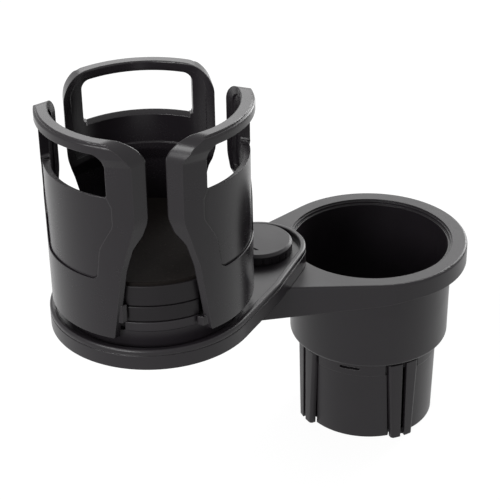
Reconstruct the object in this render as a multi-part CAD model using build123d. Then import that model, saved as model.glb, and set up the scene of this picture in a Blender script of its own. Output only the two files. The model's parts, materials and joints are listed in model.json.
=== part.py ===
from build123d import *
import os
from math import cos, radians, sin

# Cup holder expander, in millimetres. +Z is up, the origin is on the lower cup's axis in the plane
# of the sleeve's bottom, and the arm reaches along -X. The sleeve goes down into a car's cup well.
# Turning the lower cup on the sleeve drives four feet out. The arm carries a swivelling tray, and
# turning the carrier on the tray spreads three windowed jaws round the upper holder.

# Clearances
RUNNING_GAP = 0.3
SCREW_GAP = 0.05

# A corner that stays sharp in an outline whose other corners are rounded
SHARP = 0.01

# Places of the three axes
ARM_REACH = 57.2
HOLDER_REACH = 62.0
HOLDER_SWING = 21.1
JAW_TURN = -4.7
FOOT_TURN = 3.4
SWIVEL = (-ARM_REACH, 0)
HOLDER_ANGLE = 180 + HOLDER_SWING
HOLDER = (
    SWIVEL[0] + HOLDER_REACH * cos(radians(HOLDER_ANGLE)),
    SWIVEL[1] + HOLDER_REACH * sin(radians(HOLDER_ANGLE)),
)
JAW_COUNT = 3
FOOT_COUNT = 4
JAW_ANGLES = [HOLDER_ANGLE + JAW_TURN + i * 360 / JAW_COUNT for i in range(JAW_COUNT)]
JAW_NAMES = ["jaw_left", "jaw_right", "jaw_rear"]
FOOT_ANGLES = [FOOT_TURN + i * 360 / FOOT_COUNT for i in range(FOOT_COUNT)]

# Travel of the feet and the jaws, and the turn that drives each
FOOT_TRAVEL = 8.0
CUP_TURN = 60.0
JAW_TRAVEL = 11.0
CARRIER_TURN = 75.0

# Sleeve
SLEEVE_TOP_RADIUS = 32.6
SLEEVE_DRAFT = 1.1
SLEEVE_HEIGHT = 43.2
SLEEVE_WALL = 2.0
DECK_THICKNESS = 2.5
LIP_OVERHANG = 0.8
LIP_THICKNESS = 0.8
BAND_HEIGHT = 7.7
BAND_STEP = 0.4
SLIT_ANGLE = 15.9
SLIT_DROP = 3.1
SLIT_HEIGHT = 1.4
SLIT_DEPTH = 1.6
RECESS_DEPTH = 0.9
RECESS_MARGIN = 0.9
GUIDE_WALL = 1.8
POST_RADIUS = 3.2
POST_INSET = 10.0
POST_RIB = 1.6
COVER_THICKNESS = 2.2

# Feet
FOOT_PROUD = 2.0
FOOT_TOP_WIDTH = 15.4
FOOT_BOTTOM_WIDTH = 11.2
FOOT_HEIGHT = 41.2
PAD_THICKNESS = 2.6
FOOT_SIDE_ROUND = 1.5
FOOT_SLOT_WIDTH = 2.2
FOOT_SLOT_DEPTH = 1.9
FOOT_SLOT_END = 3.2
FOOT_BOX_INSET = 0.7
FOOT_BOX_WALL = 1.6
FOOT_SHELF = 2.5
FOOT_BOX_CLEARANCE = 1.0
FOOT_PIN_INSET = 2.4
FOOT_PIN_RADIUS = 2.0
FOOT_PIN_ENGAGEMENT = 1.5

# Lower cup and its ring
CUP_BOTTOM_RADIUS = 37.5
CUP_TOP_RADIUS = 38.1
CUP_WALL = 1.9
CUP_FLOOR = 3.5
CUP_SHOULDER = 1.5
CUP_INNER_CORNER = 2.5
CUP_HEIGHT = 48.3
RING_OVERHANG = 7.0
RING_DEPTH = 9.0
RING_PLATE = 2.5
RING_WALL = 2.2
RING_EDGE = 1.2
MOUTH_FLARE = 1.8
MOUTH_STEP = 0.8
MOUTH_STEP_DEPTH = 2.0
MOUTH_EDGE = 0.8
ARM_END_RADIUS = 24.0
ARM_DROP = 6.5
ARM_RIB = 1.8
ARM_RIB_SPREAD = 12.0
RING_RIBS = 9

# Turning joint between the cup and the sleeve
HUB_RADIUS = 8.0
CUP_WASHER_RADIUS = 12.0
WASHER_THICKNESS = 1.2
HUB_SCREW_RADIUS = 2.0
HUB_SCREW_HEAD_RADIUS = 4.0
HUB_SCREW_HEAD_HEIGHT = 2.2
HUB_SCREW_GRIP = 5.0
SMALL_SCREW_RADIUS = 1.2
SMALL_SCREW_HEAD_RADIUS = 2.6
SMALL_SCREW_HEAD_HEIGHT = 1.2
SMALL_SCREW_RECESS = 1.5
SMALL_SCREW_GRIP = 8.4
SCREW_TIP_COVER = 1.3

# Swivel with its bolt, washer, nut and knob
BOLT_RADIUS = 3.0
BOLT_HOLE_RADIUS = 3.25
SWIVEL_WASHER_RADIUS = 12.0
SWIVEL_WASHER_THICKNESS = 1.5
SWIVEL_BOSS_RADIUS = 8.5
SWIVEL_BOSS_DEPTH = 12.0
NUT_WIDTH = 10.0
NUT_THICKNESS = 5.0
BOLT_HEAD_HEIGHT = 3.2
BOLT_TIP = 1.5
KNOB_RADIUS = 15.7
KNOB_HEIGHT = 5.0
KNOB_BEVEL = 1.1
KNOB_WALL = 1.8
KNOB_HUB_RADIUS = 7.6
KNOB_GRIPS = 24
KNOB_GRIP_RADIUS = 0.7
ARROW_CIRCLE = 9.6
ARROW_ANGLE = 100.0
ARROW_WIDTH = 1.2
ARROW_HEAD = 3.6
ARROW_DEPTH = 0.4

# Tray
TRAY_MARGIN = 1.3
TRAY_EAR_RADIUS = 21.9
TRAY_WAIST_RADIUS = 34.7
TRAY_HEIGHT = 9.2
TRAY_FLOOR_DROP = 2.7
TRAY_FLOOR_THICKNESS = 2.0
TRAY_WALL = 2.0
TRAY_BEAD = 2.6
TRAY_BEAD_EDGE = 1.2
TRAY_PARTING_DROP = 2.2
TRAY_PARTING_WIDTH = 0.5
TRAY_PARTING_DEPTH = 0.35
TRAY_PAD_MARGIN = 2.5
TRAY_PAD_THICKNESS = 2.0
TRAY_RIBS = 12
TRAY_RIB = 1.6
GROOVE_DEPTH = 2.0

# Carrier, its spigot and the holder's floor
SPIGOT_RADIUS = 7.7
CARRIER_MARGIN = 0.6
CHANNEL_DEPTH = 2.1
CARRIER_WASHER_RADIUS = 11.4
CARRIER_WALL = 2.0
CARRIER_POCKET_DEPTH = 3.1
CARRIER_POST_RADIUS = 4.5
FLOOR_SCREW_CIRCLE = 27.0
FLOOR_THICKNESS = 4.4

# Jaws
JAW_INNER_RADIUS = 38.9
JAW_WALL = 4.4
JAW_LOW_WALL = 2.4
JAW_RAMP_BOTTOM = 41.5
JAW_RAMP_TOP = 47.0
JAW_RAMP_ROUND = 3.0
JAW_DRAFT = 0.2
JAW_LIP = 1.4
JAW_LIFT = 0.9
JAW_HEIGHT = 88.2
JAW_BOTTOM_HALF_WIDTH = 23.0
JAW_WAIST_HALF_WIDTH = 26.8
JAW_WAIST_HEIGHT = 31.2
JAW_HALF_WIDTH = 31.6
JAW_SHOULDER_HEIGHT = 53.2
JAW_CORNER = 10.0
JAW_LIP_START = 10.0
JAW_LIP_FULL = 5.8
JAW_EDGE = 1.1
LIP_EDGE = 1.0
LIP_STEP_DEPTH = 0.7
LIP_STEP_INSET = 1.2
WINDOW_SIDE = 8.2
WINDOW_SILL = 23.3
WINDOW_HEAD = 4.5
SILL_SLOPE = 2.0
WINDOW_TOP_CORNER = 3.5
WINDOW_BOTTOM_CORNER = 1.2
PANEL_DEPTH = 0.8
PANEL_SIDE = 6.8
PANEL_TOP_TAPER = 4.0
PANEL_SHOULDER_HEIGHT = 52.2
PANEL_NECK_HALF_WIDTH = 19.4
PANEL_NECK_HEIGHT = 41.2
PANEL_FOOT_HALF_WIDTH = 17.6
PANEL_FOOT_HEIGHT = 26.7
PANEL_CORNER = 3.0
PANEL_GROOVE_WIDTH = 0.6
PANEL_GROOVE_DEPTH = 0.5
INNER_PANEL_INSET = 3.2
INNER_PANEL_DEPTH = 0.7
STOP_THICKNESS = 2.0
STOP_ROOT = 2.0
HIGH_STOP_REACH = 1.2
HIGH_STOP_BOTTOM = 7.4
HIGH_STOP_TOP = 15.4
LOW_STOP_REACH = 2.2
LOW_STOP_BOTTOM = 2.4
LOW_STOP_TOP = 6.6
TONGUE_WIDTH = 20.0
TONGUE_THICKNESS = 3.2
JAW_PIN_RADIUS = 2.2
JAW_KEY_LENGTH = 8.0
JAW_KEY_WIDTH = 6.0

# Risers and mat
RISER_LOBE_DEPTH = 2.0
RISER_LOBE_HALF_WIDTH = 15.3
RISER_LOW_HEIGHT = 7.4
RISER_HIGH_HEIGHT = 9.6
RISER_WALL = 2.0
RISER_EDGE = 0.4
SEAM_DEPTH = 0.9
SEAM_HEIGHT = 0.7
REGISTER_HEIGHT = 1.0
REGISTER_WIDTH = 1.4
REGISTER_GAP = 0.4
MAT_THICKNESS = 1.5
MAT_INSET = 0.6
MAT_EDGE = 0.6

# Radii that follow from the sizes above
SLEEVE_BOTTOM_RADIUS = SLEEVE_TOP_RADIUS - SLEEVE_DRAFT
POST_CIRCLE = SLEEVE_BOTTOM_RADIUS - POST_INSET
FOOT_RADIUS = SLEEVE_TOP_RADIUS + FOOT_PROUD
FOOT_BOX_HALF_WIDTH = FOOT_BOTTOM_WIDTH / 2 - FOOT_BOX_INSET
FOOT_BOX_START = CUP_WASHER_RADIUS + FOOT_BOX_CLEARANCE
FOOT_PIN_CIRCLE = FOOT_BOX_START + FOOT_PIN_INSET
RING_RADIUS = CUP_TOP_RADIUS + RING_OVERHANG
MOUTH_RADIUS = CUP_TOP_RADIUS - CUP_WALL + MOUTH_FLARE
JAW_OUTER_RADIUS = JAW_INNER_RADIUS + JAW_WALL
JAW_BOTTOM_RADIUS = JAW_OUTER_RADIUS - JAW_DRAFT
JAW_LIP_RADIUS = JAW_OUTER_RADIUS + JAW_LIP
JAW_LOW_INNER_RADIUS = JAW_OUTER_RADIUS - JAW_LOW_WALL
WINDOW_HALF_WIDTH = JAW_HALF_WIDTH - WINDOW_SIDE
PANEL_HALF_WIDTH = JAW_HALF_WIDTH - PANEL_SIDE
TRAY_RADIUS = JAW_OUTER_RADIUS + TRAY_MARGIN
RISER_LOBE_RADIUS = JAW_INNER_RADIUS - RUNNING_GAP
RISER_RADIUS = RISER_LOBE_RADIUS - RISER_LOBE_DEPTH
CARRIER_RADIUS = RISER_LOBE_RADIUS - CARRIER_MARGIN
TONGUE_START = CARRIER_WASHER_RADIUS + CARRIER_WALL + 2 * RUNNING_GAP
JAW_PIN_CIRCLE = TONGUE_START + JAW_KEY_LENGTH / 2
TRAY_PAD_RADIUS = JAW_PIN_CIRCLE + JAW_TRAVEL + JAW_PIN_RADIUS + RUNNING_GAP + TRAY_PAD_MARGIN

# Heights that follow from the sizes above
DECK_UNDERSIDE = SLEEVE_HEIGHT - DECK_THICKNESS
CUP_BOTTOM = SLEEVE_HEIGHT + RUNNING_GAP
RING_TOP = CUP_BOTTOM + CUP_HEIGHT
HUB_BOTTOM = DECK_UNDERSIDE - RUNNING_GAP
TRAY_BOTTOM = RING_TOP + RUNNING_GAP
TRAY_TOP = TRAY_BOTTOM + TRAY_HEIGHT
TRAY_FLOOR = TRAY_TOP - TRAY_FLOOR_DROP
KNOB_BOTTOM = TRAY_FLOOR + RUNNING_GAP
KNOB_TOP = KNOB_BOTTOM + KNOB_HEIGHT
JAW_BOTTOM = KNOB_TOP + JAW_LIFT
JAW_TOP = JAW_BOTTOM + JAW_HEIGHT
CARRIER_BOTTOM = TRAY_FLOOR + RUNNING_GAP
CHANNEL_FLOOR = JAW_BOTTOM - RUNNING_GAP
CHANNEL_ROOF = JAW_BOTTOM + TONGUE_THICKNESS + RUNNING_GAP
CARRIER_TOP = CHANNEL_FLOOR + CHANNEL_DEPTH
SPIGOT_TOP = CARRIER_TOP - RUNNING_GAP - HUB_SCREW_HEAD_HEIGHT - WASHER_THICKNESS
HOLDER_FLOOR_TOP = CARRIER_TOP + FLOOR_THICKNESS
RISER_LOW_TOP = HOLDER_FLOOR_TOP + RISER_LOW_HEIGHT
RISER_HIGH_TOP = RISER_LOW_TOP + RISER_HIGH_HEIGHT
BOTTOM_SCREW_TIP = COVER_THICKNESS + SMALL_SCREW_GRIP
FLOOR_SCREW_TIP = HOLDER_FLOOR_TOP - SCREW_TIP_COVER - RUNNING_GAP
NUT_BOTTOM = RING_TOP - SWIVEL_BOSS_DEPTH
FOOT_BOX_BOTTOM = COVER_THICKNESS + RUNNING_GAP
FOOT_BOX_TOP = DECK_UNDERSIDE - RUNNING_GAP


def disc(radius, bottom, top):
    return Pos(0, 0, bottom) * Cylinder(
        radius, top - bottom, align=(Align.CENTER, Align.CENTER, Align.MIN)
    )


def tube(outer, inner, bottom, top):
    return disc(outer, bottom, top) - disc(inner, bottom, top)


def block(x, y, z):
    """A box from its limits along each axis."""
    return Pos(x[0], y[0], z[0]) * Box(
        x[1] - x[0], y[1] - y[0], z[1] - z[0], align=(Align.MIN, Align.MIN, Align.MIN)
    )


def hexagon_bar(width, bottom, top):
    return extrude(Pos(0, 0, bottom) * RegularPolygon(width / 2, 6, major_radius=False), top - bottom)


def raised(sketch, bottom, top):
    return extrude(Pos(0, 0, bottom) * sketch, top - bottom)


def turned(shape, angle):
    return Rot(0, 0, angle) * shape


def at(place, shape):
    return Pos(place[0], place[1], 0) * shape


def spun(outline):
    """Turn a closed (radius, height) outline about the Z axis."""
    return revolve(Plane.XZ * make_face(outline), Axis.Z)


def edges_at(shape, height):
    return shape.edges().filter_by_position(Axis.Z, height, height)


def obround(start, end, half_width):
    """A straight slot along X whose round ends are centred on start and end."""
    middle = Pos((start + end) / 2, 0) * Rectangle(end - start, 2 * half_width)
    return middle + Pos(start, 0) * Circle(half_width) + Pos(end, 0) * Circle(half_width)


def spiral_slot(start_radius, end_radius, start_angle, turn, half_width):
    """A slot of even width along a spiral, for a pin that a turn moves outward."""
    steps = 8
    inner = []
    outer = []
    growth = (end_radius - start_radius) / radians(turn)
    for i in range(steps + 1):
        angle = radians(start_angle + turn * i / steps)
        radius = start_radius + (end_radius - start_radius) * i / steps
        centre = Vector(radius * cos(angle), radius * sin(angle))
        along = Vector(
            growth * cos(angle) - radius * sin(angle),
            growth * sin(angle) + radius * cos(angle),
        ).normalized()
        across = Vector(along.Y, -along.X) * half_width
        inner.append(centre - across)
        outer.append(centre + across)
        if i == 0:
            start_tip = centre - along * half_width * (1 if turn > 0 else -1)
        end_tip = centre + along * half_width * (1 if turn > 0 else -1)
    outline = [
        Spline(*inner),
        ThreePointArc(inner[-1], end_tip, outer[-1]),
        Spline(*reversed(outer)),
        ThreePointArc(outer[0], start_tip, inner[0]),
    ]
    return make_face(Curve() + outline)


def small_screw(surface, tip):
    """A pan-head screw that points up, with its head sunk in a recess of that surface."""
    shoulder = surface + SMALL_SCREW_RECESS
    head = disc(SMALL_SCREW_HEAD_RADIUS, shoulder - SMALL_SCREW_HEAD_HEIGHT, shoulder)
    return head + disc(SMALL_SCREW_RADIUS, shoulder, tip)


def small_screw_hole(surface, tip):
    """The recess and pilot hole for a small screw."""
    shoulder = surface + SMALL_SCREW_RECESS
    recess = disc(SMALL_SCREW_HEAD_RADIUS + RUNNING_GAP, surface, shoulder)
    return recess + disc(SMALL_SCREW_RADIUS + SCREW_GAP, shoulder, tip + RUNNING_GAP)


def hub_screw(head_bottom, tip):
    shoulder = head_bottom + HUB_SCREW_HEAD_HEIGHT
    return disc(HUB_SCREW_HEAD_RADIUS, head_bottom, shoulder) + disc(HUB_SCREW_RADIUS, shoulder, tip)


# Sleeve that goes into the car's well

def sleeve_radius(height):
    return SLEEVE_BOTTOM_RADIUS + (SLEEVE_TOP_RADIUS - SLEEVE_BOTTOM_RADIUS) * height / SLEEVE_HEIGHT


def post_places():
    return [
        turned(Pos(POST_CIRCLE, 0, 0), angle + 180 / FOOT_COUNT)
        for angle in FOOT_ANGLES
    ]


def make_sleeve():
    lip_underside = SLEEVE_HEIGHT - LIP_THICKNESS
    lip_radius = SLEEVE_TOP_RADIUS + LIP_OVERHANG
    band_underside = SLEEVE_HEIGHT - BAND_HEIGHT
    wall = Polyline(
        (SLEEVE_BOTTOM_RADIUS - SLEEVE_WALL, 0),
        (SLEEVE_BOTTOM_RADIUS, 0),
        (sleeve_radius(band_underside), band_underside),
        (sleeve_radius(band_underside) + BAND_STEP, band_underside),
        (sleeve_radius(lip_underside) + BAND_STEP, lip_underside),
        (lip_radius, lip_underside),
        (lip_radius, SLEEVE_HEIGHT),
        (HUB_RADIUS + RUNNING_GAP, SLEEVE_HEIGHT),
        (HUB_RADIUS + RUNNING_GAP, DECK_UNDERSIDE),
        (sleeve_radius(DECK_UNDERSIDE) - SLEEVE_WALL, DECK_UNDERSIDE),
        close=True,
    )
    sleeve = spun(wall)
    guide_inside = FOOT_BOX_HALF_WIDTH + RUNNING_GAP
    guide_outside = guide_inside + GUIDE_WALL
    reach = SLEEVE_BOTTOM_RADIUS - SLEEVE_WALL / 2
    inside = disc(reach, COVER_THICKNESS, DECK_UNDERSIDE)
    height = (COVER_THICKNESS, DECK_UNDERSIDE)
    guides = Part()
    for angle in FOOT_ANGLES:
        guides += turned(block((guide_inside, reach), (guide_inside, guide_outside), height), angle)
        guides += turned(block((guide_inside, reach), (-guide_outside, -guide_inside), height), angle)
    for place in post_places():
        guides += place * disc(POST_RADIUS, *height)
        guides += place * block((0, reach - POST_CIRCLE), (-POST_RIB / 2, POST_RIB / 2), height)
    sleeve += guides & inside
    washer_room = HUB_BOTTOM - WASHER_THICKNESS - HUB_SCREW_HEAD_HEIGHT - 2 * RUNNING_GAP
    sleeve -= disc(CUP_WASHER_RADIUS + RUNNING_GAP, washer_room, DECK_UNDERSIDE)
    recess_reach = FOOT_RADIUS + FOOT_TRAVEL
    recess_top = FOOT_HEIGHT + RUNNING_GAP
    recess = spun(
        Polyline(
            (SLEEVE_BOTTOM_RADIUS - RECESS_DEPTH, 0),
            (recess_reach, 0),
            (recess_reach, recess_top),
            (SLEEVE_TOP_RADIUS - RECESS_DEPTH, recess_top),
            close=True,
        )
    )
    band_half = FOOT_TOP_WIDTH / 2 + RECESS_MARGIN
    recess &= extrude(Plane.YZ * foot_outline(RUNNING_GAP, recess_top), recess_reach) + block(
        (0, recess_reach), (-band_half, band_half), (band_underside, recess_top)
    )
    window = block((guide_outside, FOOT_RADIUS), (-guide_inside, guide_inside), (0, DECK_UNDERSIDE))
    pin_slot = obround(FOOT_PIN_CIRCLE, FOOT_PIN_CIRCLE + FOOT_TRAVEL, FOOT_PIN_RADIUS + RUNNING_GAP)
    slit_top = SLEEVE_HEIGHT - SLIT_DROP
    slit_half = FOOT_RADIUS * sin(radians(SLIT_ANGLE / 2))
    slit = tube(FOOT_RADIUS, SLEEVE_TOP_RADIUS - SLIT_DEPTH, slit_top - SLIT_HEIGHT, slit_top)
    slit &= block((0, FOOT_RADIUS), (-slit_half, slit_half), (0, SLEEVE_HEIGHT))
    for angle in FOOT_ANGLES:
        sleeve -= turned(recess, angle)
        sleeve -= turned(window, angle)
        sleeve -= turned(raised(pin_slot, DECK_UNDERSIDE, SLEEVE_HEIGHT), angle)
        sleeve -= turned(slit, angle + 180 / FOOT_COUNT)
    for place in post_places():
        sleeve -= place * small_screw_hole(0, BOTTOM_SCREW_TIP)
    return sleeve


def make_bottom_cover():
    cover = disc(SLEEVE_BOTTOM_RADIUS - SLEEVE_WALL - RUNNING_GAP, 0, COVER_THICKNESS)
    for place in post_places():
        cover -= place * small_screw_hole(0, BOTTOM_SCREW_TIP)
    return cover


def make_bottom_screws():
    return Compound(children=[place * small_screw(0, BOTTOM_SCREW_TIP) for place in post_places()])


def foot_outline(margin, height):
    """A foot's front in (width, height), grown by a margin at each side."""
    bottom = FOOT_BOTTOM_WIDTH / 2 + margin
    top = FOOT_TOP_WIDTH / 2 + margin
    return make_face(Polyline((-bottom, 0), (bottom, 0), (top, height), (-top, height), close=True))


def make_foot():
    """One spreading foot, made on the X axis."""
    pad = tube(FOOT_RADIUS, FOOT_RADIUS - PAD_THICKNESS, 0, FOOT_HEIGHT)
    pad &= extrude(Plane.YZ * foot_outline(0, FOOT_HEIGHT), FOOT_RADIUS)
    upright = pad.edges().filter_by(lambda edge: abs(edge.center().Z - FOOT_HEIGHT / 2) < 1)
    front = upright.sort_by(Axis.X)[-2:]
    pad = fillet(front, FOOT_SIDE_ROUND)
    slot_half = FOOT_SLOT_WIDTH / 2
    groove = block((FOOT_RADIUS - FOOT_SLOT_DEPTH, FOOT_RADIUS), (-slot_half, slot_half), (0, FOOT_HEIGHT))
    slot_level = (FOOT_SLOT_END, FOOT_HEIGHT - FOOT_SLOT_END)
    slot = block((FOOT_RADIUS - 2 * PAD_THICKNESS, FOOT_RADIUS), (-slot_half, slot_half), slot_level)
    box_end = FOOT_RADIUS - PAD_THICKNESS / 2
    level = (FOOT_BOX_BOTTOM, FOOT_BOX_TOP)
    drawer = block((FOOT_BOX_START, box_end), (-FOOT_BOX_HALF_WIDTH, FOOT_BOX_HALF_WIDTH), level)
    room_half = FOOT_BOX_HALF_WIDTH - FOOT_BOX_WALL
    room_level = (FOOT_BOX_BOTTOM + FOOT_SHELF, FOOT_BOX_TOP - FOOT_SHELF)
    drawer -= block((FOOT_BOX_START, FOOT_RADIUS), (-room_half, room_half), room_level)
    drawer &= disc(box_end, 0, SLEEVE_HEIGHT)
    pin = Pos(FOOT_PIN_CIRCLE, 0, 0) * disc(
        FOOT_PIN_RADIUS, FOOT_BOX_TOP, CUP_BOTTOM + FOOT_PIN_ENGAGEMENT
    )
    return pad + drawer - slot - groove + pin


# Lower cup with its ring and arm, one moulding

def make_arm_shell():
    """The ring's and the arm's skirted plate, whose skirt deepens towards the swivel."""
    plan = make_hull(
        (Circle(RING_RADIUS) + at(SWIVEL, Circle(ARM_END_RADIUS))).edges()
    )
    plan = Sketch() + plan
    slope = ARM_DROP / ARM_REACH
    far = ARM_REACH + 2 * ARM_END_RADIUS
    skirt_edge = RING_TOP - RING_DEPTH
    low = skirt_edge - far * slope
    shell = raised(plan, low, RING_TOP)
    outer_edges = edges_at(shell, RING_TOP)
    shell = fillet(outer_edges, RING_EDGE)
    shell -= raised(offset(plan, -RING_WALL), low, RING_TOP - RING_PLATE)
    under = Polyline(
        (far, skirt_edge),
        (0, skirt_edge),
        (-far, low),
        (-far, low - RING_DEPTH),
        (far, low - RING_DEPTH),
        close=True,
    )
    return shell - extrude(Plane.XZ * make_face(under), 2 * RING_RADIUS, both=True)


def make_arm_ribs():
    plate_underside = RING_TOP - RING_PLATE
    level = (NUT_BOTTOM + 1, plate_underside)
    half = ARM_RIB / 2
    arm_end = -ARM_REACH - ARM_END_RADIUS
    across_arm = (-ARM_END_RADIUS, ARM_END_RADIUS)
    ribs = Part()
    for side in (-1, 1):
        y = side * ARM_RIB_SPREAD
        ribs += block((arm_end, -CUP_TOP_RADIUS / 2), (y - half, y + half), level)
    ribs += block((-ARM_REACH - half, -ARM_REACH + half), across_arm, level)
    ribs &= at(SWIVEL, disc(ARM_END_RADIUS - 1, *level)) + block((-ARM_REACH, 0), across_arm, level)
    ring_level = (RING_TOP - RING_DEPTH + 1.5, plate_underside)
    for i in range(RING_RIBS):
        rib = block((CUP_TOP_RADIUS - 1, RING_RADIUS - 1), (-half, half), ring_level)
        ribs += turned(rib, -100 + 200 * i / (RING_RIBS - 1))
    return ribs


def make_cup():
    inner_floor = CUP_BOTTOM + CUP_FLOOR
    step_level = RING_TOP - MOUTH_STEP_DEPTH
    body = FilletPolyline(
        (0, CUP_BOTTOM),
        (CUP_BOTTOM_RADIUS, CUP_BOTTOM),
        (CUP_TOP_RADIUS, RING_TOP - RING_PLATE),
        (0, RING_TOP - RING_PLATE),
        radius=[SHARP, CUP_SHOULDER, SHARP, SHARP],
        close=True,
    )
    hollow = FilletPolyline(
        (0, inner_floor),
        (CUP_BOTTOM_RADIUS - CUP_WALL, inner_floor),
        (CUP_TOP_RADIUS - CUP_WALL, RING_TOP + 1),
        (0, RING_TOP + 1),
        radius=[SHARP, CUP_INNER_CORNER, SHARP, SHARP],
        close=True,
    )
    cup = make_arm_shell() + spun(body) + make_arm_ribs()
    boss_top = RING_TOP - RING_PLATE
    cup += at(SWIVEL, disc(SWIVEL_BOSS_RADIUS, NUT_BOTTOM, boss_top))
    cup += at(SWIVEL, disc(SWIVEL_WASHER_RADIUS + RING_WALL, boss_top - RING_PLATE, boss_top))
    cup -= spun(hollow)
    cup -= disc(MOUTH_RADIUS - MOUTH_STEP, step_level, RING_TOP)
    cup -= disc(MOUTH_RADIUS, RING_TOP - MOUTH_EDGE, RING_TOP)
    cup += disc(HUB_RADIUS, HUB_BOTTOM, CUP_BOTTOM)
    cup -= disc(HUB_SCREW_RADIUS + SCREW_GAP, HUB_BOTTOM, HUB_BOTTOM + HUB_SCREW_GRIP + RUNNING_GAP)
    groove_roof = CUP_BOTTOM + FOOT_PIN_ENGAGEMENT + RUNNING_GAP
    for angle in FOOT_ANGLES:
        groove = spiral_slot(
            FOOT_PIN_CIRCLE,
            FOOT_PIN_CIRCLE + FOOT_TRAVEL,
            angle,
            -CUP_TURN,
            FOOT_PIN_RADIUS + RUNNING_GAP,
        )
        cup -= raised(groove, CUP_BOTTOM, groove_roof)
    cup -= at(SWIVEL, disc(BOLT_HOLE_RADIUS, NUT_BOTTOM, RING_TOP))
    washer_seat = TRAY_BOTTOM - SWIVEL_WASHER_THICKNESS
    cup -= at(SWIVEL, disc(SWIVEL_WASHER_RADIUS + RUNNING_GAP, washer_seat, RING_TOP))
    cup -= at(SWIVEL, hexagon_bar(NUT_WIDTH + SCREW_GAP, NUT_BOTTOM, NUT_BOTTOM + NUT_THICKNESS))
    return cup


def make_cup_washer():
    return tube(CUP_WASHER_RADIUS, HUB_SCREW_RADIUS + SCREW_GAP, HUB_BOTTOM - WASHER_THICKNESS, HUB_BOTTOM)


def make_cup_screw():
    head_bottom = HUB_BOTTOM - WASHER_THICKNESS - HUB_SCREW_HEAD_HEIGHT
    return hub_screw(head_bottom, HUB_BOTTOM + HUB_SCREW_GRIP)


# Swivel pieces on the arm's end

def make_swivel_nut():
    nut = hexagon_bar(NUT_WIDTH, NUT_BOTTOM, NUT_BOTTOM + NUT_THICKNESS)
    return at(SWIVEL, nut - disc(BOLT_RADIUS + SCREW_GAP, NUT_BOTTOM, NUT_BOTTOM + NUT_THICKNESS))


def make_swivel_washer():
    bottom = TRAY_BOTTOM - SWIVEL_WASHER_THICKNESS
    return at(SWIVEL, tube(SWIVEL_WASHER_RADIUS, BOLT_HOLE_RADIUS, bottom, TRAY_BOTTOM))


def make_knob_arrow():
    """A curved arrow sunk in the knob's top, which shows the way to turn."""
    start = 130.0
    arc = Circle(ARROW_CIRCLE + ARROW_WIDTH / 2) - Circle(ARROW_CIRCLE - ARROW_WIDTH / 2)
    reach = 2 * KNOB_RADIUS
    side_a = (reach * cos(radians(start)), reach * sin(radians(start)))
    side_b = (reach * cos(radians(start + ARROW_ANGLE)), reach * sin(radians(start + ARROW_ANGLE)))
    middle = start + ARROW_ANGLE / 2
    side_c = (2 * reach * cos(radians(middle)), 2 * reach * sin(radians(middle)))
    arc &= make_face(Polyline((0, 0), side_a, side_c, side_b, close=True))
    head = Pos(ARROW_CIRCLE, 0) * make_face(
        Polyline((-ARROW_HEAD / 2, 0), (ARROW_HEAD / 2, 0), (0, ARROW_HEAD), close=True)
    )
    return arc + turned(head, start + ARROW_ANGLE)


def make_knob():
    grip_top = KNOB_TOP - 2 * KNOB_BEVEL
    knob = disc(KNOB_RADIUS, KNOB_BOTTOM, KNOB_TOP)
    knob = chamfer(edges_at(knob, KNOB_TOP), KNOB_BEVEL)
    for i in range(KNOB_GRIPS):
        notch = disc(KNOB_GRIP_RADIUS, KNOB_BOTTOM, grip_top)
        knob -= turned(Pos(KNOB_RADIUS + KNOB_GRIP_RADIUS / 2, 0, 0) * notch, i * 360 / KNOB_GRIPS)
    room = tube(KNOB_RADIUS - KNOB_WALL, KNOB_HUB_RADIUS, KNOB_BOTTOM, KNOB_TOP - KNOB_WALL)
    knob -= room
    knob -= hexagon_bar(NUT_WIDTH + SCREW_GAP, KNOB_BOTTOM, KNOB_BOTTOM + BOLT_HEAD_HEIGHT)
    knob -= raised(make_knob_arrow(), KNOB_TOP - ARROW_DEPTH, KNOB_TOP)
    return at(SWIVEL, knob)


def make_knob_bolt():
    head = hexagon_bar(NUT_WIDTH, KNOB_BOTTOM, KNOB_BOTTOM + BOLT_HEAD_HEIGHT)
    return at(SWIVEL, head + disc(BOLT_RADIUS, NUT_BOTTOM - BOLT_TIP, KNOB_BOTTOM))


# Tray that swings on the arm

def tray_plan():
    """The tray's outline: its round, its ear and a fuller waist between them."""
    waist = ((SWIVEL[0] + HOLDER[0]) / 2, (SWIVEL[1] + HOLDER[1]) / 2)
    circles = at(HOLDER, Circle(TRAY_RADIUS)).edges()
    circles += at(SWIVEL, Circle(TRAY_EAR_RADIUS)).edges()
    circles += at(waist, Circle(TRAY_WAIST_RADIUS)).edges()
    return Sketch() + make_hull(circles)


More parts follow.
